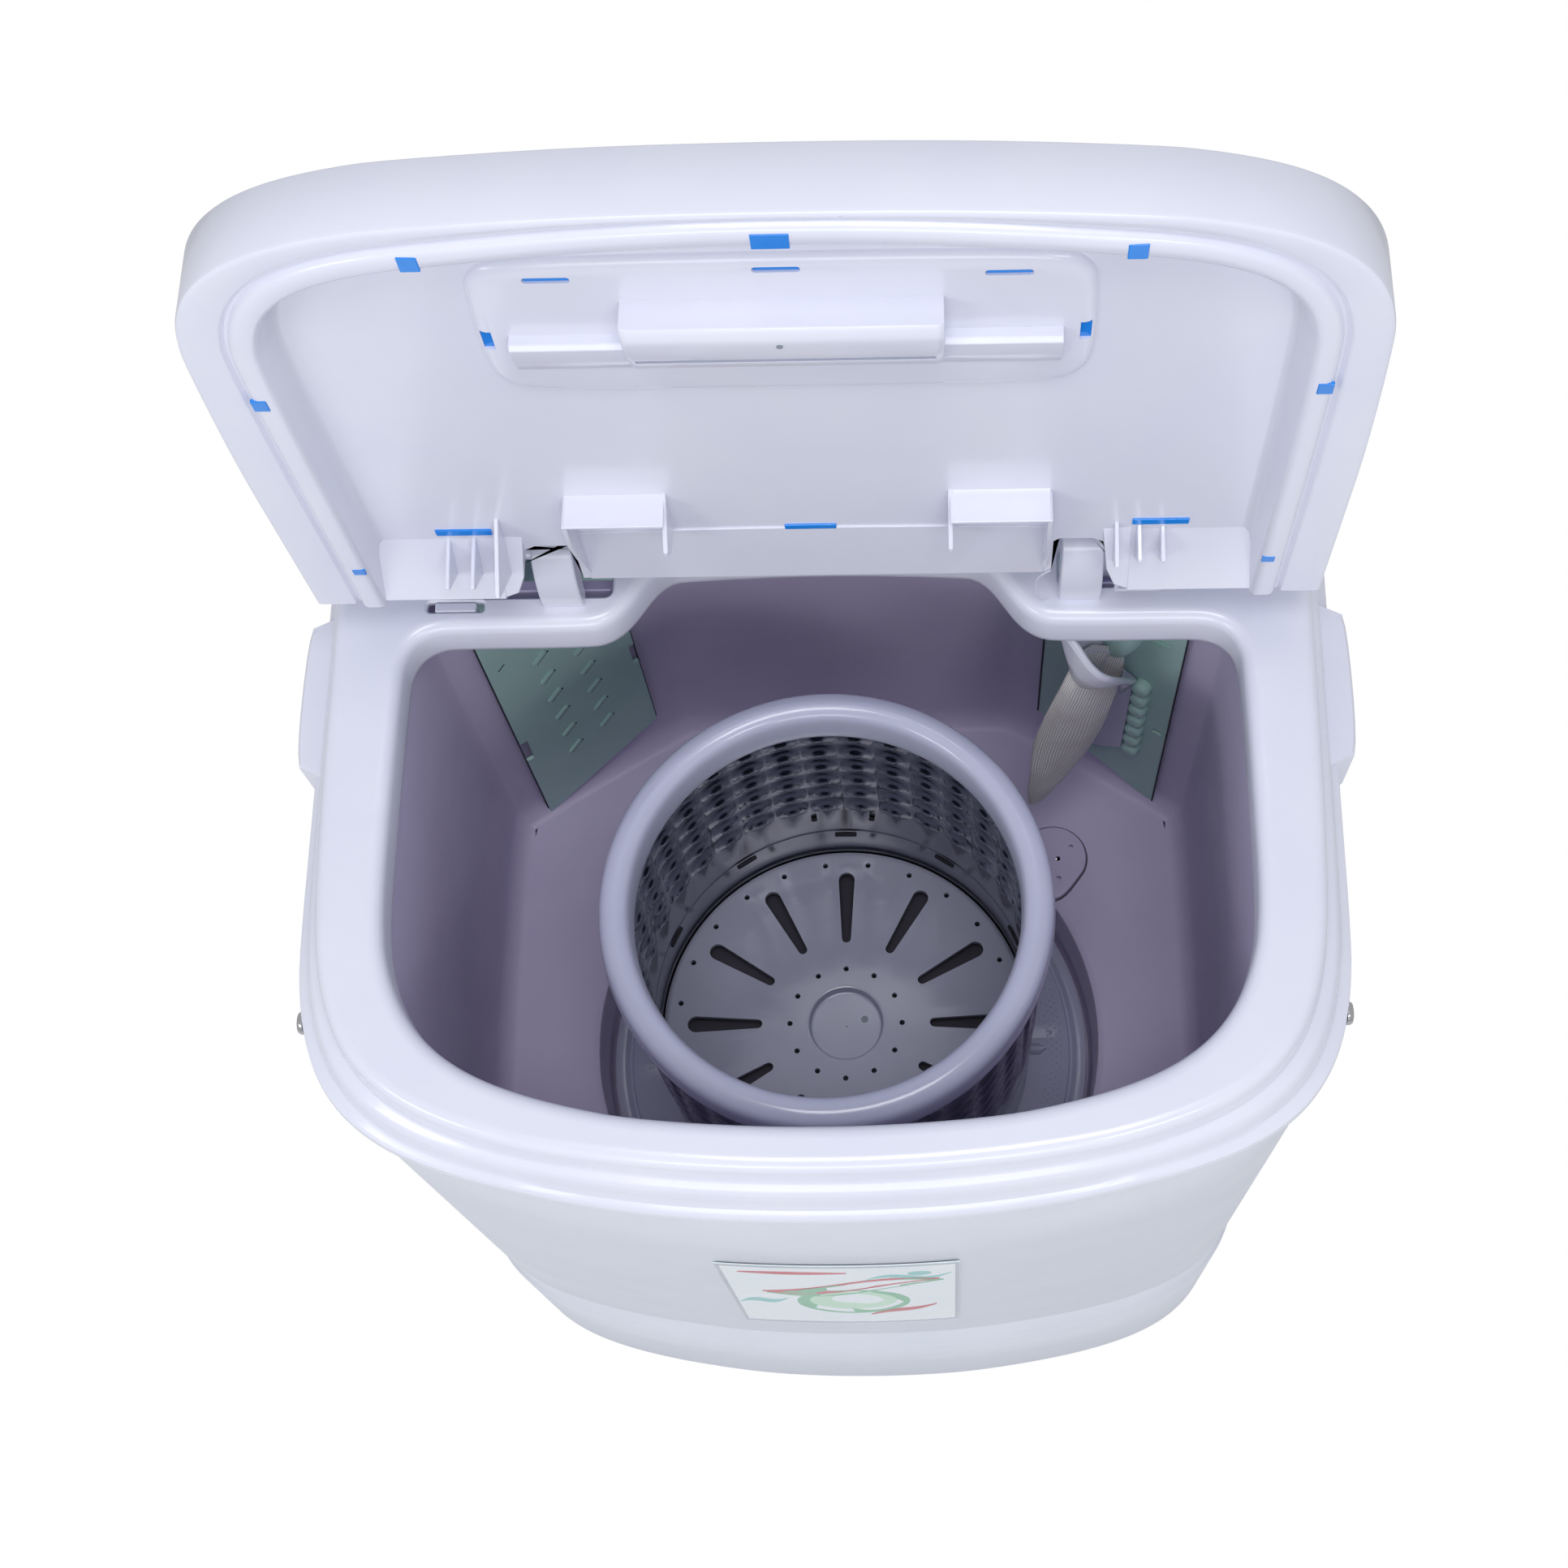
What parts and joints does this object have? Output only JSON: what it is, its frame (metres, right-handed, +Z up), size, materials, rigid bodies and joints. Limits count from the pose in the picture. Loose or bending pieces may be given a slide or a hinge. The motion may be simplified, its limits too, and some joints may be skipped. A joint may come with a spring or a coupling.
{
  "type": "top load washing machine",
  "caption": "Upright single-tub washing machine with a raised lid, stepped rim, lift-out perforated spin basket, rear control console, lint filter and side grips.",
  "frame": {"origin": "centre of the footprint on the floor", "axes": "+Z up, the front faces -Y, +X to the right seen from the front; the lid is raised"},
  "size_m": [0.49, 0.366, 0.94],
  "materials": {
    "white_plastic": "glossy moulded ABS, cool white",
    "body_plastic": "smooth moulded PP casing",
    "tub_plastic": "smooth PP tub, semi gloss",
    "blue_cover": "clear blue-tinted gloss cover",
    "green_plastic": "pale mint green PP",
    "filter_net": "fine nylon mesh",
    "stainless_steel": "bright embossed stainless sheet",
    "screw_nickel": "nickel plated",
    "grey_plastic": "grey-lilac moulded plastic",
    "rubber": "matt rubber",
    "black_plastic": "matt black nylon",
    "motor_steel": "zinc plated and painted steel",
    "label_film": "printed film"
  },
  "bodies": {
    "root": {"cabinet": "body_plastic", "rear_cover": "body_plastic", "base_frame": "body_plastic", "bottom_cover": "body_plastic", "upper_frame": "white_plastic", "hinge_pin_left": "white_plastic", "hinge_pin_right": "white_plastic", "handle_left": "white_plastic", "handle_right": "white_plastic", "console_cover": "white_plastic", "wash_tub": "tub_plastic", "drain_cover": "tub_plastic", "water_channel_cover": "green_plastic", "filter_panel": "green_plastic", "frame_screw_left": "screw_nickel", "frame_screw_right": "screw_nickel", "upper_bearing": "screw_nickel", "lower_bearing": "screw_nickel", "drain_valve": "grey_plastic", "drain_spout": "grey_plastic", "control_tray": "grey_plastic", "wash_timer": "grey_plastic", "mode_selector": "grey_plastic", "drain_selector": "grey_plastic", "water_inlet": "grey_plastic", "capacitor": "grey_plastic", "foot_front_left": "rubber", "foot_front_right": "rubber", "foot_rear_left": "rubber", "foot_rear_right": "rubber", "drive_belt": "rubber", "shaft_seal": "rubber", "cord_gland": "black_plastic", "lid_switch": "black_plastic", "bearing_housing": "motor_steel", "motor": "motor_steel", "motor_bracket": "motor_steel", "front_label": "label_film", "control_panel": "label_film"},
    "lid": {"lid_panel": "white_plastic", "lid_cover": "blue_cover", "lid_handle_cup": "white_plastic"},
    "wash_timer_dial": {"wash_timer_knob": "white_plastic"},
    "mode_dial": {"mode_knob": "white_plastic"},
    "drain_dial": {"drain_knob": "white_plastic"},
    "drain_stopper": {"drain_plug": "rubber", "drain_pull_rod": "screw_nickel"},
    "lint_filter": {"filter_frame": "grey_plastic", "filter_bag": "filter_net"},
    "turntable": {"pulsator": "grey_plastic", "pulsator_screw": "screw_nickel", "drive_shaft": "screw_nickel", "drive_pulley": "black_plastic"},
    "basket": {"basket_ring": "grey_plastic", "basket_drum": "stainless_steel", "basket_base": "grey_plastic"},
    "motor_rotor": {"motor_pulley": "black_plastic"}
  },
  "joints": [
    {"name": "lid_hinge", "type": "hinge", "parent": "root", "child": "lid", "pos_m": [0, 0.1085, 0.6553], "axis": [1, 0, 0], "range_deg": [0, 90]},
    {"name": "wash_timer_turn", "type": "hinge", "parent": "root", "child": "wash_timer_dial", "pos_m": [-0.125, 0.15031, 0.70666], "axis": [0, -0.3815, 0.9244], "range_deg": [-285, 0]},
    {"name": "mode_turn", "type": "hinge", "parent": "root", "child": "mode_dial", "pos_m": [0, 0.15031, 0.70666], "axis": [0, -0.3815, 0.9244], "range_deg": [-90, 90]},
    {"name": "drain_turn", "type": "hinge", "parent": "root", "child": "drain_dial", "pos_m": [0.125, 0.15031, 0.70666], "axis": [0, -0.3815, 0.9244], "range_deg": [-90, 0]},
    {"name": "drain_lift", "type": "slide", "parent": "root", "child": "drain_stopper", "axis": [0, 0, 1], "range_m": [0, 0.008]},
    {"name": "filter_pull", "type": "slide", "parent": "root", "child": "lint_filter", "axis": [0.5306, 0.8476, 0], "range_m": [-0.025, 0]},
    {"name": "turntable_spin", "type": "hinge", "parent": "root", "child": "turntable", "pos_m": [0, -0.0335, 0.287], "axis": [0, 0, 1], "continuous": true},
    {"name": "basket_lift", "type": "slide", "parent": "turntable", "child": "basket", "axis": [0, 0, -1], "range_m": [-0.26, 0]},
    {"name": "motor_spin", "type": "hinge", "parent": "root", "child": "motor_rotor", "pos_m": [-0.118, -0.0335, 0.16], "axis": [0, 0, 1], "continuous": true}
  ],
  "couplings": [
    {"joint": "motor_spin", "follows": "turntable_spin", "ratio": 3.75},
    {"joint": "drain_turn", "follows": "drain_lift", "rad_per_m": -196.3}
  ]
}
